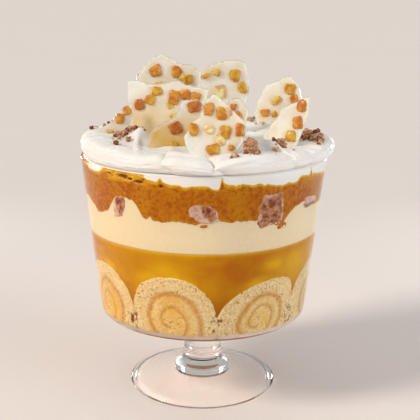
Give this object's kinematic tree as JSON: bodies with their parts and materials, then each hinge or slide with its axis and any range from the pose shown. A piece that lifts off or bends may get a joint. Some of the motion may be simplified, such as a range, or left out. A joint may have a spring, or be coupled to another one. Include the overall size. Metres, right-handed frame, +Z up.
{
  "type": "layered trifle in a footed glass bowl",
  "caption": "Layered trifle in a footed clear glass bowl: Swiss roll slices in jelly, custard, fruit coulis and whipped cream, topped with candied peel chocolate shards.",
  "frame": {"origin": "centre of the underside of the glass foot, on the surface that the bowl stands on", "axes": "+Z up along the bowl's axis, -Y towards the front with the large upright shard, +X to the right seen from the front"},
  "size_m": [0.2146, 0.2121, 0.2894],
  "materials": {
    "glass": "clear smooth pressed glass",
    "jelly": "amber fruit jelly, moist and slightly see-through",
    "sponge": "open-crumbed pale sponge with an amber filling spiral",
    "custard": "smooth set custard with a soft sheen",
    "fruit_coulis": "deep orange fruit coulis with fine pulp",
    "cream": "softly whipped cream",
    "white_chocolate": "broken white chocolate with a satin face",
    "candied_peel": "sticky candied orange and lemon peel",
    "amaretti": "dry, rough broken amaretti biscuit"
  },
  "bodies": {
    "root": {"glass_bowl": "glass", "jelly": "jelly", "swiss_roll_1": "sponge", "swiss_roll_2": "sponge", "swiss_roll_3": "sponge", "swiss_roll_4": "sponge", "swiss_roll_5": "sponge", "swiss_roll_6": "sponge", "swiss_roll_7": "sponge", "swiss_roll_8": "sponge", "custard": "custard", "fruit_coulis": "fruit_coulis", "whipped_cream": "cream", "chocolate_shard_front": "white_chocolate", "chocolate_shard_front_left": "white_chocolate", "chocolate_shard_left": "white_chocolate", "chocolate_shard_back_left": "white_chocolate", "chocolate_shard_back_sliver": "white_chocolate", "chocolate_shard_back_right": "white_chocolate", "chocolate_shard_centre": "white_chocolate", "chocolate_shard_back": "white_chocolate", "chocolate_shard_right": "white_chocolate", "chocolate_shard_far_left": "white_chocolate", "candied_peel_1": "candied_peel", "candied_peel_2": "candied_peel", "candied_peel_3": "candied_peel", "candied_peel_4": "candied_peel", "candied_peel_5": "candied_peel", "candied_peel_6": "candied_peel", "candied_peel_7": "candied_peel", "candied_peel_8": "candied_peel", "candied_peel_9": "candied_peel", "candied_peel_10": "candied_peel", "candied_peel_11": "candied_peel", "candied_peel_12": "candied_peel", "candied_peel_13": "candied_peel", "candied_peel_14": "candied_peel", "candied_peel_15": "candied_peel", "candied_peel_16": "candied_peel", "candied_peel_17": "candied_peel", "candied_peel_18": "candied_peel", "candied_peel_19": "candied_peel", "candied_peel_20": "candied_peel", "candied_peel_21": "candied_peel", "candied_peel_22": "candied_peel", "candied_peel_23": "candied_peel", "candied_peel_24": "candied_peel", "candied_peel_25": "candied_peel", "candied_peel_26": "candied_peel", "amaretti_wall_left": "amaretti", "amaretti_wall_front": "amaretti", "amaretti_wall_right": "amaretti", "amaretti_wall_far_right": "amaretti", "amaretti_top_front": "amaretti", "amaretti_top_front_right": "amaretti", "amaretti_top_right": "amaretti", "amaretti_top_far_right": "amaretti", "amaretti_top_left": "amaretti"}
  },
  "joints": []
}
